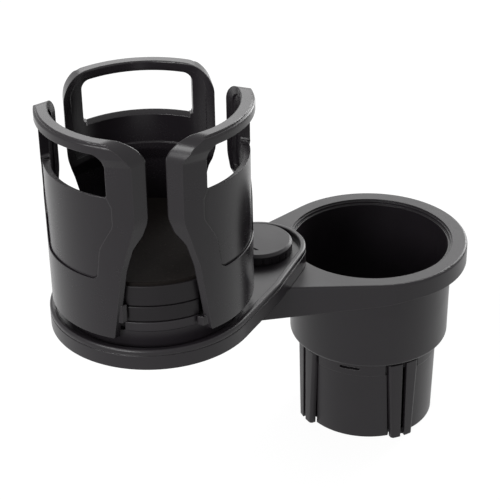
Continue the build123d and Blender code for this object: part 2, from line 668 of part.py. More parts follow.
def make_tray():
    plan = tray_plan()
    tray = raised(plan, TRAY_BOTTOM, TRAY_TOP)
    tray = fillet(edges_at(tray, TRAY_TOP), TRAY_BEAD_EDGE)
    tray -= raised(offset(plan, -TRAY_BEAD), TRAY_FLOOR, TRAY_TOP)
    inner_rim = edges_at(tray, TRAY_TOP).filter_by(lambda edge: edge.length > 0)
    tray = fillet(inner_rim, TRAY_BEAD_EDGE / 2)
    underside = TRAY_FLOOR - TRAY_FLOOR_THICKNESS
    inside = raised(offset(plan, -TRAY_WALL), TRAY_BOTTOM, underside)
    tray -= inside
    ribs = Part()
    rib_half = TRAY_RIB / 2
    rib_level = (TRAY_BOTTOM + RUNNING_GAP, underside)
    for i in range(TRAY_RIBS):
        rib = block((0, TRAY_RADIUS + TRAY_EAR_RADIUS), (-rib_half, rib_half), rib_level)
        ribs += at(HOLDER, turned(rib, HOLDER_SWING + i * 360 / TRAY_RIBS))
    ribs += at(HOLDER, disc(TRAY_PAD_RADIUS, underside - TRAY_PAD_THICKNESS, underside))
    ribs += at(HOLDER, disc(SPIGOT_RADIUS, TRAY_BOTTOM, underside))
    ribs += at(SWIVEL, disc(SWIVEL_BOSS_RADIUS, TRAY_BOTTOM, underside))
    tray += ribs & inside
    tray += at(HOLDER, disc(SPIGOT_RADIUS, TRAY_FLOOR, SPIGOT_TOP))
    tray -= at(HOLDER, disc(HUB_SCREW_RADIUS + SCREW_GAP, TRAY_FLOOR - HUB_SCREW_GRIP, SPIGOT_TOP))
    tray -= at(SWIVEL, disc(BOLT_HOLE_RADIUS, TRAY_BOTTOM, TRAY_FLOOR))
    for angle in JAW_ANGLES:
        groove = spiral_slot(
            JAW_PIN_CIRCLE,
            JAW_PIN_CIRCLE + JAW_TRAVEL,
            angle,
            CARRIER_TURN,
            JAW_PIN_RADIUS + RUNNING_GAP,
        )
        tray -= at(HOLDER, raised(groove, TRAY_FLOOR - GROOVE_DEPTH, TRAY_FLOOR))
    parting = TRAY_TOP - TRAY_PARTING_DROP
    seam = raised(plan, parting - TRAY_PARTING_WIDTH, parting)
    seam -= raised(offset(plan, -TRAY_PARTING_DEPTH), parting - TRAY_PARTING_WIDTH, parting)
    return tray - seam


def make_carrier_washer():
    bore = HUB_SCREW_RADIUS + SCREW_GAP
    return at(HOLDER, tube(CARRIER_WASHER_RADIUS, bore, SPIGOT_TOP, SPIGOT_TOP + WASHER_THICKNESS))


def make_carrier_screw():
    head_bottom = SPIGOT_TOP + WASHER_THICKNESS
    head = disc(HUB_SCREW_HEAD_RADIUS, head_bottom, head_bottom + HUB_SCREW_HEAD_HEIGHT)
    tip = TRAY_FLOOR - HUB_SCREW_GRIP + RUNNING_GAP
    return at(HOLDER, head + disc(HUB_SCREW_RADIUS, tip, head_bottom))


# Carrier that guides the jaws, and the holder's floor on it

def floor_screw_places():
    return [
        turned(Pos(FLOOR_SCREW_CIRCLE, 0, 0), angle + 180 / JAW_COUNT)
        for angle in JAW_ANGLES
    ]


def tongue_channel(bottom, top):
    """The room for one jaw's tongue, open at the outer end, on the X axis."""
    half = TONGUE_WIDTH / 2 + RUNNING_GAP
    return block((TONGUE_START - RUNNING_GAP, 2 * CARRIER_RADIUS), (-half, half), (bottom, top))


def make_carrier():
    carrier = disc(CARRIER_RADIUS, CARRIER_BOTTOM, CARRIER_TOP)
    key_half = JAW_KEY_WIDTH / 2 + RUNNING_GAP
    key_start = JAW_PIN_CIRCLE - JAW_KEY_LENGTH / 2 - RUNNING_GAP
    key_end = JAW_PIN_CIRCLE + JAW_TRAVEL + JAW_KEY_LENGTH / 2 + RUNNING_GAP
    pocket_top = CARRIER_BOTTOM + CARRIER_POCKET_DEPTH
    pockets = tube(
        CARRIER_RADIUS - CARRIER_WALL, CARRIER_WASHER_RADIUS + CARRIER_WALL, CARRIER_BOTTOM, pocket_top
    )
    for angle in JAW_ANGLES:
        bar_half = key_half + CARRIER_WALL
        bar = block((0, CARRIER_RADIUS), (-bar_half, bar_half), (CARRIER_BOTTOM, pocket_top))
        pockets -= turned(bar, angle)
    for place in floor_screw_places():
        pockets -= place * disc(CARRIER_POST_RADIUS, CARRIER_BOTTOM, pocket_top)
    carrier -= pockets
    washer_seat = SPIGOT_TOP - RUNNING_GAP
    carrier -= disc(SPIGOT_RADIUS + RUNNING_GAP, CARRIER_BOTTOM, washer_seat)
    carrier -= disc(CARRIER_WASHER_RADIUS + RUNNING_GAP, washer_seat, CARRIER_TOP)
    for angle in JAW_ANGLES:
        carrier -= turned(tongue_channel(CHANNEL_FLOOR, CARRIER_TOP), angle)
        key_slot = block((key_start, key_end), (-key_half, key_half), (CARRIER_BOTTOM, CHANNEL_FLOOR))
        carrier -= turned(key_slot, angle)
    for place in floor_screw_places():
        carrier -= place * small_screw_hole(CARRIER_BOTTOM, FLOOR_SCREW_TIP)
    return at(HOLDER, carrier)


def riser_plan():
    """A round with a lobe in each gap between the jaws."""
    plan = Circle(RISER_RADIUS)
    for angle in JAW_ANGLES:
        lobe = Pos(RISER_LOBE_RADIUS / 2, 0) * Rectangle(RISER_LOBE_RADIUS, 2 * RISER_LOBE_HALF_WIDTH)
        plan += turned(lobe, angle + 180 / JAW_COUNT) & Circle(RISER_LOBE_RADIUS)
    return plan


def make_register(bottom):
    """A low upstand that keeps the next riser in place."""
    radius = RISER_RADIUS - RISER_WALL - REGISTER_GAP
    return tube(radius, radius - REGISTER_WIDTH, bottom, bottom + REGISTER_HEIGHT)


def make_holder_floor():
    floor = raised(riser_plan(), CARRIER_TOP, HOLDER_FLOOR_TOP)
    floor = fillet(edges_at(floor, HOLDER_FLOOR_TOP) + edges_at(floor, CARRIER_TOP), RISER_EDGE)
    for angle in JAW_ANGLES:
        floor -= turned(tongue_channel(CARRIER_TOP, CHANNEL_ROOF), angle)
    for place in floor_screw_places():
        floor -= place * small_screw_hole(CARRIER_BOTTOM, FLOOR_SCREW_TIP)
    return at(HOLDER, floor + make_register(HOLDER_FLOOR_TOP))


def make_floor_screws():
    screw = small_screw(CARRIER_BOTTOM, FLOOR_SCREW_TIP)
    return Compound(children=[at(HOLDER, place * screw) for place in floor_screw_places()])


def make_riser(bottom, top):
    plan = riser_plan()
    riser = raised(plan, bottom, top)
    riser = fillet(edges_at(riser, top), RISER_EDGE)
    riser -= raised(plan - offset(plan, -SEAM_DEPTH), bottom, bottom + SEAM_HEIGHT)
    return riser - raised(offset(plan, -RISER_WALL), bottom, top - RISER_WALL)


def make_mat():
    mat = raised(offset(riser_plan(), -MAT_INSET), RISER_HIGH_TOP, RISER_HIGH_TOP + MAT_THICKNESS)
    return at(HOLDER, fillet(edges_at(mat, RISER_HIGH_TOP + MAT_THICKNESS), MAT_EDGE))


# Jaws

def mirrored_outline(points, radii):
    """A closed outline in (width, height) from the points of its right half, bottom to top."""
    left = [(-x, y) for x, y in reversed(points)]
    return make_face(FilletPolyline(*points, *left, radius=radii + radii[::-1], close=True))


def jaw_outline():
    return mirrored_outline(
        [
            (JAW_BOTTOM_HALF_WIDTH, JAW_BOTTOM),
            (JAW_WAIST_HALF_WIDTH, JAW_BOTTOM + JAW_WAIST_HEIGHT),
            (JAW_HALF_WIDTH, JAW_BOTTOM + JAW_SHOULDER_HEIGHT),
            (JAW_HALF_WIDTH, JAW_TOP),
        ],
        [JAW_EDGE, 2 * JAW_CORNER, 2 * JAW_CORNER, JAW_CORNER],
    )


def window_outline():
    return mirrored_outline(
        [
            (WINDOW_HALF_WIDTH, JAW_TOP - WINDOW_SILL),
            (WINDOW_HALF_WIDTH, JAW_TOP - WINDOW_HEAD),
        ],
        [WINDOW_BOTTOM_CORNER, WINDOW_TOP_CORNER],
    )


def panel_outline():
    return mirrored_outline(
        [
            (PANEL_FOOT_HALF_WIDTH, JAW_BOTTOM + PANEL_FOOT_HEIGHT),
            (PANEL_NECK_HALF_WIDTH, JAW_BOTTOM + PANEL_NECK_HEIGHT),
            (PANEL_HALF_WIDTH, JAW_BOTTOM + PANEL_SHOULDER_HEIGHT),
            (PANEL_HALF_WIDTH, JAW_TOP - WINDOW_SILL - PANEL_TOP_TAPER),
            (WINDOW_HALF_WIDTH - PANEL_DEPTH / 2, JAW_TOP - WINDOW_SILL + PANEL_DEPTH / 2),
        ],
        [PANEL_CORNER, 3 * PANEL_CORNER, 2 * PANEL_CORNER, PANEL_CORNER, SHARP],
    )


def across(outline):
    """Push a (width, height) outline through the jaw's wall, along X."""
    return extrude(Plane.YZ * outline, 2 * JAW_LIP_RADIUS)


def edge_stop(side, half_width, reach, bottom, top):
    """A small stop on one side edge of a jaw, next to the risers."""
    level = (JAW_BOTTOM + bottom, JAW_BOTTOM + top)
    outer = JAW_LOW_INNER_RADIUS + STOP_THICKNESS / 2
    ring = tube(outer, outer - STOP_THICKNESS, *level)
    span = sorted((side * (half_width - STOP_ROOT), side * (half_width + reach)))
    return ring & block((0, outer), span, level)


def make_jaw():
    """One jaw, made on the X axis: a curved windowed wall on a sliding tongue."""
    step_radius = JAW_LIP_RADIUS - LIP_STEP_INSET
    step_level = JAW_TOP - LIP_STEP_DEPTH
    section = FilletPolyline(
        (JAW_LOW_INNER_RADIUS, JAW_BOTTOM),
        (JAW_BOTTOM_RADIUS, JAW_BOTTOM),
        (JAW_OUTER_RADIUS, JAW_TOP - JAW_LIP_START),
        (JAW_LIP_RADIUS, JAW_TOP - JAW_LIP_FULL),
        (JAW_LIP_RADIUS, step_level),
        (step_radius, step_level),
        (step_radius, JAW_TOP),
        (JAW_INNER_RADIUS, JAW_TOP),
        (JAW_INNER_RADIUS, JAW_BOTTOM + JAW_RAMP_TOP),
        (JAW_LOW_INNER_RADIUS, JAW_BOTTOM + JAW_RAMP_BOTTOM),
        radius=[
            JAW_EDGE / 2,
            JAW_EDGE / 2,
            3 * JAW_EDGE,
            3 * JAW_EDGE,
            LIP_EDGE,
            SHARP,
            LIP_STEP_DEPTH / 3,
            JAW_EDGE / 2,
            JAW_RAMP_ROUND,
            JAW_RAMP_ROUND,
        ],
        close=True,
    )
    jaw = spun(section) & across(jaw_outline())
    panel_radius = JAW_OUTER_RADIUS - PANEL_DEPTH
    panel = panel_outline()
    jaw -= across(panel) - disc(panel_radius, JAW_BOTTOM, JAW_TOP)
    border = across(panel - offset(panel, -PANEL_GROOVE_WIDTH))
    border &= tube(
        JAW_OUTER_RADIUS,
        panel_radius - PANEL_GROOVE_DEPTH,
        JAW_BOTTOM,
        JAW_BOTTOM + PANEL_NECK_HEIGHT,
    )
    jaw -= border
    inner_panel = across(offset(jaw_outline(), -INNER_PANEL_INSET)) & tube(
        JAW_INNER_RADIUS + INNER_PANEL_DEPTH,
        JAW_INNER_RADIUS - 1,
        JAW_BOTTOM + JAW_RAMP_TOP + INNER_PANEL_INSET,
        JAW_TOP,
    )
    jaw -= inner_panel
    jaw -= across(window_outline())
    sill = JAW_TOP - WINDOW_SILL
    slope = spun(
        Polyline(
            (JAW_INNER_RADIUS, sill - SILL_SLOPE),
            (JAW_OUTER_RADIUS, sill),
            (JAW_OUTER_RADIUS, sill + SILL_SLOPE),
            (JAW_INNER_RADIUS, sill + SILL_SLOPE),
            close=True,
        )
    )
    window_half = WINDOW_HALF_WIDTH - WINDOW_BOTTOM_CORNER
    jaw -= slope & block((0, JAW_OUTER_RADIUS), (-window_half, window_half), (JAW_BOTTOM, JAW_TOP))
    jaw += edge_stop(1, JAW_BOTTOM_HALF_WIDTH + 1, HIGH_STOP_REACH, HIGH_STOP_BOTTOM, HIGH_STOP_TOP)
    jaw += edge_stop(-1, JAW_BOTTOM_HALF_WIDTH, LOW_STOP_REACH, LOW_STOP_BOTTOM, LOW_STOP_TOP)
    tongue_top = JAW_BOTTOM + TONGUE_THICKNESS
    tongue_end = JAW_LOW_INNER_RADIUS + JAW_LOW_WALL / 2
    half = TONGUE_WIDTH / 2
    tongue = block((TONGUE_START, tongue_end), (-half, half), (JAW_BOTTOM, tongue_top))
    jaw += tongue & disc(tongue_end, JAW_BOTTOM, tongue_top)
    key_start = JAW_PIN_CIRCLE - JAW_KEY_LENGTH / 2
    key_end = JAW_PIN_CIRCLE + JAW_KEY_LENGTH / 2
    key_bottom = CARRIER_BOTTOM + RUNNING_GAP
    key_half = JAW_KEY_WIDTH / 2
    jaw += block((key_start, key_end), (-key_half, key_half), (key_bottom, JAW_BOTTOM))
    pin_bottom = TRAY_FLOOR - GROOVE_DEPTH + RUNNING_GAP
    jaw += Pos(JAW_PIN_CIRCLE, 0, 0) * disc(JAW_PIN_RADIUS, pin_bottom, key_bottom)
    return jaw


def make_pieces():
    jaw = make_jaw()
    foot = make_foot()
    pieces = {
        "base_sleeve": make_sleeve(),
        "bottom_cover": make_bottom_cover(),
        "bottom_screws": make_bottom_screws(),
        "base_cup": make_cup(),
        "cup_washer": make_cup_washer(),
        "cup_screw": make_cup_screw(),
        "swivel_nut": make_swivel_nut(),
        "swivel_washer": make_swivel_washer(),
        "lock_knob": make_knob(),
        "knob_bolt": make_knob_bolt(),
        "swivel_tray": make_tray(),
        "carrier_washer": make_carrier_washer(),
        "carrier_screw": make_carrier_screw(),
        "jaw_carrier": make_carrier(),
        "holder_floor": make_holder_floor(),
        "floor_screws": make_floor_screws(),
        "riser_low": at(HOLDER, make_riser(HOLDER_FLOOR_TOP, RISER_LOW_TOP) + make_register(RISER_LOW_TOP)),
        "riser_high": at(HOLDER, make_riser(RISER_LOW_TOP, RISER_HIGH_TOP)),
        "riser_mat": make_mat(),
    }
    for name, angle in zip(JAW_NAMES, JAW_ANGLES):
        pieces[name] = at(HOLDER, turned(jaw, angle))
    for i, angle in enumerate(FOOT_ANGLES):
        pieces[f"foot_{i + 1}"] = turned(foot, angle)
    return pieces


os.makedirs("parts", exist_ok=True)
for name, piece in make_pieces().items():
    export_step(piece, f"parts/{name}.step")
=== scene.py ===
import json
import math

import bpy
from mathutils import Matrix, Vector


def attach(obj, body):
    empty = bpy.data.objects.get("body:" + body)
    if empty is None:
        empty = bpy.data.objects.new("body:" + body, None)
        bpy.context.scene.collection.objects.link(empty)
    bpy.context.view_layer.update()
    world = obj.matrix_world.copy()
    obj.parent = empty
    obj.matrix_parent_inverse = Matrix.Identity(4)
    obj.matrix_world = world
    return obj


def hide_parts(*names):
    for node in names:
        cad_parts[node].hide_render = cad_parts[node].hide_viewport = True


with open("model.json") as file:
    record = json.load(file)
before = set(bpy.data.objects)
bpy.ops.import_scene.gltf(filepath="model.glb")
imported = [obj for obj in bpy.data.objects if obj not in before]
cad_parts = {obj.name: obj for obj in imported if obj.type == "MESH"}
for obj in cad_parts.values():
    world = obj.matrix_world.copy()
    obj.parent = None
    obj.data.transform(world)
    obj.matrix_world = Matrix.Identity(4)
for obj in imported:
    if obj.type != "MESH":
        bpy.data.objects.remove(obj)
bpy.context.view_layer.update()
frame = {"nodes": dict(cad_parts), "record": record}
nodes = frame["nodes"]
nodeBody = {name: body for body, names in frame["record"]["behaviour"]["bodies"].items() for name in names}
nodeSlot = {part["node"]: part["material_slot"] for part in frame["record"]["subparts"]}
bpy.ops.object.select_all(action="DESELECT")
print("frame loaded:", len(nodes), "nodes")


# shader maths as plain expressions: one value is a socket of a node in a material's tree
class ShaderValue:
    def __init__(self, tree, output=None):
        self.tree = tree
        self.output = output

    # any node: its settings first, then the values or links of its sockets, and the output that is wanted
    def node(self, kind, settings, sockets, result=0):
        made = self.tree.nodes.new(kind)
        for name, value in settings.items():
            if name == "stops":
                fillRamp(made.color_ramp, value)
            else:
                setattr(made, name, value)
        connect(self.tree, made, sockets)
        return ShaderValue(self.tree, made.outputs[result])

    def maths(self, operation, first, second):
        return self.node("ShaderNodeMath", {"operation": operation}, {0: first, 1: second})

    def __add__(self, other):
        return self.maths("ADD", self, other)

    def __radd__(self, other):
        return self.maths("ADD", other, self)

    def __sub__(self, other):
        return self.maths("SUBTRACT", self, other)

    def __rsub__(self, other):
        return self.maths("SUBTRACT", other, self)

    def __mul__(self, other):
        return self.maths("MULTIPLY", self, other)

    def __rmul__(self, other):
        return self.maths("MULTIPLY", other, self)

    def __or__(self, other):
        return self.maths("MAXIMUM", self, other)


def connect(tree, node, sockets):
    for name, value in sockets.items():
        if isinstance(value, ShaderValue):
            tree.links.new(value.output, node.inputs[name])
        else:
            node.inputs[name].default_value = value


def fillRamp(ramp, stops):
    while len(ramp.elements) > len(stops):
        ramp.elements.remove(ramp.elements[-1])
    while len(ramp.elements) < len(stops):
        ramp.elements.new(1.0)
    for element, (place, grey) in zip(ramp.elements, stops):
        element.position = place
        element.color = (grey, grey, grey, 1)


# a Mix node's colours are its sockets 6 and 7 and its output 2
def mixColours(paint, factor, first, second):
    first = first if isinstance(first, ShaderValue) else (*first, 1)
    return paint.node("ShaderNodeMix", {"data_type": "RGBA"}, {0: factor, 6: first, 7: (*second, 1)}, 2)


def noise(paint, place, size, detail, roughness):
    sockets = {"Vector": place, "Scale": 1 / size, "Detail": detail, "Roughness": roughness}
    return paint.node("ShaderNodeTexNoise", {}, sockets, "Fac")


# a pattern from 0 to 1 made a swing about 0
def swing(pattern, width):
    return (pattern - 0.5) * width


def relief(paint, look, height, normal=None):
    sockets = {"Strength": look["bumpStrength"], "Distance": look["bumpDepth"], "Height": height}
    if normal is not None:
        sockets["Normal"] = normal
    return paint.node("ShaderNodeBump", {}, sockets)


def newMaterial(name):
    material = bpy.data.materials.new(name)
    material.use_nodes = True
    paint = ShaderValue(material.node_tree)
    shader = material.node_tree.nodes["Principled BSDF"]
    return material, paint, shader


def objectPlace(paint):
    return paint.node("ShaderNodeTexCoord", {}, {}, "Object")


# a broken edge's rounded normal, and how near a point is to an edge by that normal's turn
def brokenEdge(paint, look):
    settings = {"samples": look["edgeSamples"]}
    rounded = paint.node("ShaderNodeBevel", settings, {"Radius": look["edgeRadius"]}, "Normal")
    flat = paint.node("ShaderNodeNewGeometry", {}, {}, "Normal")
    normals = {0: rounded, 1: flat}
    likeness = paint.node("ShaderNodeVectorMath", {"operation": "DOT_PRODUCT"}, normals, "Value")
    edge = paint.node("ShaderNodeClamp", {}, {"Value": (1 - likeness) * look["edgeGain"]})
    return rounded, edge


# injection-moulded plastic with an etched grain, faint flow marks, handling marks and polished edges, whose
# colour is lightened by wear and a painted highlight
def mouldedPlastic(name, look):
    material, paint, shader = newMaterial(name)
    place = objectPlace(paint)
    flow = noise(paint, place, *look["flow"])
    handled = noise(paint, place, *look["handled"])
    fine = noise(paint, place, *look["fine"])
    pebbleSockets = {"Vector": place, "Scale": 1 / look["pebblePitch"]}
    pebble = paint.node("ShaderNodeTexVoronoi", {"feature": "SMOOTH_F1"}, pebbleSockets, "Distance")
    rounded, edge = brokenEdge(paint, look)
    grain = fine * look["fineShare"] + pebble * (1 - look["fineShare"])
    specks = paint.node("ShaderNodeValToRGB", {"stops": look["speckStops"]}, {"Fac": fine})
    flowed = mixColours(paint, flow, look["darkTone"], look["lightTone"])
    speckled = mixColours(paint, specks * look["speckShare"], flowed, look["speckTone"])
    # edges lightened in colour: partly wear, partly a painted highlight
    wornAndHighlit = mixColours(paint, edge * look["edgeWearAndHighlightShare"], speckled, look["edgeWearAndHighlightTone"])
    marks = swing(handled, look["handledSpread"]) + swing(grain, look["grainSpread"])
    sockets = {
        "Base Color": wornAndHighlit,
        "Roughness": look["roughness"] + marks - edge * look["edgePolish"],
        "Normal": relief(paint, look, grain, rounded),
        "IOR": look["refraction"],
        "Specular IOR Level": look["gloss"],
    }
    connect(paint.tree, shader, sockets)
    return material


# what all the black mouldings share; flow, handled and fine are noises: size, detail and roughness
blackMoulding = dict(
    darkTone=(0.0098, 0.0082, 0.0101),
    lightTone=(0.0142, 0.0118, 0.0145),
    speckTone=(0.026, 0.023, 0.026),
    # a paler colour at edges: partly wear, partly a painted highlight
    edgeWearAndHighlightTone=(0.036, 0.033, 0.036),
    speckShare=0.35,
    speckStops=[(0.62, 0.0), (0.8, 1.0)],
    flow=(0.022, 3.0, 0.6),
    handled=(0.016, 4.0, 0.55),
    handledSpread=0.10,
    fine=(0.00032, 2.0, 0.6),
    pebblePitch=0.00062,
    fineShare=0.55,
    grainSpread=0.08,
    bumpStrength=0.55,
    bumpDepth=0.000012,
    roughness=0.34,
    gloss=0.32,
    refraction=1.5,
    edgeRadius=0.0005,
    edgeSamples=6,
    edgeGain=5.0,
    edgeWearAndHighlightShare=0.5,
    edgePolish=0.06,
)

# each moulding's material, and what it changes in the shared look
mouldings = {
    "sleeve_plastic": ("sleevePlastic", dict(roughness=0.38)),
    "foot_plastic": (
        "footPlastic",
        dict(roughness=0.42, darkTone=(0.0108, 0.0092, 0.0110), handledSpread=0.14),
    ),
    "cup_plastic": ("cupPlastic", dict(roughness=0.36, fine=(0.00028, 2.0, 0.6), flow=(0.03, 3.0, 0.6))),
    "tray_plastic": ("trayPlastic", dict(roughness=0.33)),
    "carrier_plastic": ("carrierPlastic", dict(roughness=0.4, bumpStrength=0.3)),
    "jaw_plastic": (
        "jawPlastic",
        # the jaws' edges lightened more: a painted highlight along edges and panel lines
        dict(roughness=0.26, handled=(0.02, 4.0, 0.55), edgeWearAndHighlightTone=(0.080, 0.074, 0.079)),
    ),
    "riser_plastic": (
        "riserPlastic",
        dict(
            roughness=0.4,
            gloss=0.21,
            # darker tones than the other mouldings: painted shade of the recessed risers
            darkTone=(0.0070, 0.0060, 0.0070),
            lightTone=(0.0105, 0.0090, 0.0104),
        ),
    ),
    "knob_plastic": ("knobPlastic", dict(roughness=0.42, fine=(0.00024, 2.0, 0.6), handledSpread=0.16)),
}
materials = {}
for slot, (name, changes) in mouldings.items():
    materials[slot] = mouldedPlastic(name, blackMoulding | changes)
print("plastics made:", len(materials))


# soft closed-cell rubber sheet: a skin of fine cells, a few paler crumbs and rubbed places
matRubberLook = dict(
    darkTone=(0.0040, 0.0030, 0.0026),
    paleTone=(0.0090, 0.0070, 0.0062),
    crumbTone=(0.022, 0.018, 0.016),
    cellPitch=0.0007,
    cellShare=0.5,
    skin=(0.0022, 4.0, 0.65),
    skinShare=0.6,
    rubbed=(0.02, 3.0, 0.5),
    crumbs=(0.0011, 1.0, 0.4),
    crumbStops=[(0.66, 0.0), (0.74, 1.0)],
    crumbShare=0.6,
    roughness=0.78,
    roughnessSpread=0.16,
    gloss=0.1,
    bumpStrength=0.8,
    bumpDepth=0.00009,
)


def sheetRubber(name, look):
    material, paint, shader = newMaterial(name)
    place = objectPlace(paint)
    cellSockets = {"Vector": place, "Scale": 1 / look["cellPitch"]}
    cells = paint.node("ShaderNodeTexVoronoi", {"feature": "F1"}, cellSockets, "Distance")
    skin = noise(paint, place, *look["skin"])
    rubbed = noise(paint, place, *look["rubbed"])
    crumbs = noise(paint, place, *look["crumbs"])
    crumbMask = paint.node("ShaderNodeValToRGB", {"stops": look["crumbStops"]}, {"Fac": crumbs})
    mottling = skin * look["skinShare"] + rubbed * (1 - look["skinShare"])
    toned = mixColours(paint, mottling, look["darkTone"], look["paleTone"])
    height = cells * look["cellShare"] + skin * (1 - look["cellShare"])
    sockets = {
        "Base Color": mixColours(paint, crumbMask * look["crumbShare"], toned, look["crumbTone"]),
        "Roughness": look["roughness"] + swing(rubbed, look["roughnessSpread"]),
        "Normal": relief(paint, look, height),
        "Specular IOR Level": look["gloss"],
    }
    connect(paint.tree, shader, sockets)
    return material


materials["mat_rubber"] = sheetRubber("matRubber", matRubberLook)


# zinc plating: a spangled passivated skin over turned steel
zincLook = dict(
    brightTone=(0.62, 0.62, 0.61),
    warmTone=(0.56, 0.54, 0.47),
    dullTone=(0.34, 0.34, 0.35),
    dullShare=0.5,
    spangle=(0.0012, 3.0, 0.55),
    tint=(0.004, 2.0, 0.5),
    turningScale=1 / (20 * 0.00012),  # the wave texture has 20 radians at scale 1
    turningDistortion=1.5,
    turningDetail=2.0,
    roughness=0.26,
    roughnessSpread=0.18,
    bumpStrength=0.35,
    bumpDepth=0.000006,
)


def platedSteel(name, look):
    material, paint, shader = newMaterial(name)
    place = objectPlace(paint)
    spangle = noise(paint, place, *look["spangle"])
    tint = noise(paint, place, *look["tint"])
    turning = paint.node(
        "ShaderNodeTexWave",
        {"wave_type": "BANDS", "bands_direction": "Z"},
        {
            "Vector": place,
            "Scale": look["turningScale"],
            "Distortion": look["turningDistortion"],
            "Detail": look["turningDetail"],
        },
        "Fac",
    )
    tinted = mixColours(paint, tint, look["brightTone"], look["warmTone"])
    sockets = {
        "Base Color": mixColours(paint, spangle * look["dullShare"], tinted, look["dullTone"]),
        "Metallic": 1.0,
        "Roughness": look["roughness"] + swing(spangle, look["roughnessSpread"]),
        "Normal": relief(paint, look, turning + spangle),
    }
    connect(paint.tree, shader, sockets)
    return material


materials["fastener_steel"] = platedSteel("zincSteel", zincLook)


# natural nylon for the washers: milky and cloudy, with a fine grain
nylonLook = dict(
    paleTone=(0.66, 0.64, 0.58),
    deepTone=(0.54, 0.51, 0.44),
    cloud=(0.005, 3.0, 0.5),
    grain=(0.0004, 2.0, 0.5),
    roughness=0.46,
    roughnessSpread=0.12,
    bumpStrength=0.4,
    bumpDepth=0.00001,
)


def naturalNylon(name, look):
    material, paint, shader = newMaterial(name)
    place = objectPlace(paint)
    cloud = noise(paint, place, *look["cloud"])
    grain = noise(paint, place, *look["grain"])
    sockets = {
        "Base Color": mixColours(paint, cloud, look["deepTone"], look["paleTone"]),
        "Roughness": look["roughness"] + swing(cloud, look["roughnessSpread"]),
        "Normal": relief(paint, look, grain),
    }
    connect(paint.tree, shader, sockets)
    return material


materials["washer_plastic"] = naturalNylon("washerNylon", nylonLook)
print("materials made:", len(materials))


def setMaterial(piece, slot):
    piece.data.materials.clear()
    piece.data.materials.append(materials[slot])


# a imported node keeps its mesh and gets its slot's finish
for name, piece in nodes.items():
    setMaterial(piece, nodeSlot[name])
print("nodes finished")


hair = 1e-6  # metres within which two places are the same
upwards = 0.9  # a face whose normal has at least this height looks up
smoothAngle = 32  # degrees up to which an edge is shaded smooth


def startPick(piece, selectMode):
    bpy.ops.object.mode_set(mode="OBJECT")
    bpy.context.tool_settings.mesh_select_mode = selectMode
    for elements in (piece.data.vertices, piece.data.edges, piece.data.polygons):
        for element in elements:
            element.select = False


# edit mode with only the wanted faces, or the wanted edges, picked by their place
def pickFaces(piece, wanted):
    startPick(piece, (False, False, True))
    for face in piece.data.polygons:
        face.select = wanted(face)
    bpy.ops.object.mode_set(mode="EDIT")


def pickEdges(piece, wanted):
    startPick(piece, (False, True, False))
    points = piece.data.vertices
    for edge in piece.data.edges:
        edge.select = all(wanted(points[corner].co) for corner in edge.vertices)
    bpy.ops.object.mode_set(mode="EDIT")


def looksUp(face):
    return face.normal.z > upwards


def selectNothing():
    if bpy.context.object:
        bpy.ops.object.mode_set(mode="OBJECT")
    bpy.ops.object.select_all(action="DESELECT")


def activate(piece):
    selectNothing()
    piece.select_set(True)
    bpy.context.view_layer.objects.active = piece


# a primitive that was just added, with its place in its mesh
def settle():
    piece = bpy.context.active_object
    bpy.ops.object.transform_apply(location=True, rotation=True, scale=True)
    return piece


def addCylinder(corners, radius, bottom, top, place=(0, 0), turn=0.0):
    selectNothing()
    bpy.ops.mesh.primitive_cylinder_add(
        vertices=corners,
        radius=radius,
        depth=top - bottom,
        location=(*place, (bottom + top) / 2),
        rotation=(0, 0, turn),
    )
    return settle()


def applyModifier(piece, kind, settings):
    activate(piece)
    modifier = piece.modifiers.new(kind.lower(), kind)
    for name, value in settings.items():
        setattr(modifier, name, value)
    bpy.ops.object.modifier_apply(modifier=modifier.name)


def combine(piece, other, operation):
    applyModifier(piece, "BOOLEAN", {"object": other, "operation": operation, "solver": "EXACT"})
    bpy.data.objects.remove(other)


def extrudeUp(height):
    bpy.ops.mesh.extrude_region_move(TRANSFORM_OT_translate={"value": (0, 0, height)})


def joinPieces(pieces, name):
    activate(pieces[0])
    for other in pieces[1:]:
        other.select_set(True)
    bpy.ops.object.join()
    joined = bpy.context.active_object
    joined.name = name
    return joined


# a rolled thread: one tooth's outline wound up the shank
def addThread(thread, bottom, top, place=(0, 0)):
    selectNothing()
    bpy.ops.mesh.primitive_circle_add(vertices=3, radius=thread["crest"])
    tooth = bpy.context.active_object
    half = thread["pitch"] * thread["toothShare"] / 2
    outline = [
        (thread["root"], 0, bottom),
        (thread["crest"], 0, bottom + half),
        (thread["root"], 0, bottom + 2 * half),
    ]
    for point, spot in zip(tooth.data.vertices, outline):
        point.co = spot
    turns = int((top - bottom) / thread["pitch"]) - 1
    wound = {
        "axis": "Z",
        "angle": 2 * math.pi,
        "screw_offset": thread["pitch"],
        "iterations": turns,
        "steps": thread["steps"],
        "render_steps": thread["steps"],
    }
    applyModifier(tooth, "SCREW", wound)
    pickFaces(tooth, lambda face: True)
    bpy.ops.mesh.remove_doubles(threshold=thread["root"] / 1000)
    bpy.ops.mesh.fill_holes(sides=3)
    bpy.ops.mesh.select_all(action="SELECT")
    bpy.ops.mesh.normals_make_consistent(inside=False)
    bpy.ops.object.mode_set(mode="OBJECT")
    tooth.data.transform(Matrix.Translation((*place, 0)))
    return tooth


# a hexagon whose corners are turned off at the given ends
def addHexagon(place, width, bottom, top, chamfer, chamferedEnds):
    turn = math.radians(30)
    corner = width / 2 / math.cos(turn)
    hexagon = addCylinder(6, corner, bottom, top, place, turn)
    turned = addCylinder(64, corner, bottom, top, place)
    for end in chamferedEnds:
        pickEdges(turned, lambda spot: abs(spot.z - end) < hair)
        bpy.ops.mesh.bevel(offset=chamfer, segments=1)
    bpy.ops.object.mode_set(mode="OBJECT")
    combine(hexagon, turned, "INTERSECT")
    return hexagon


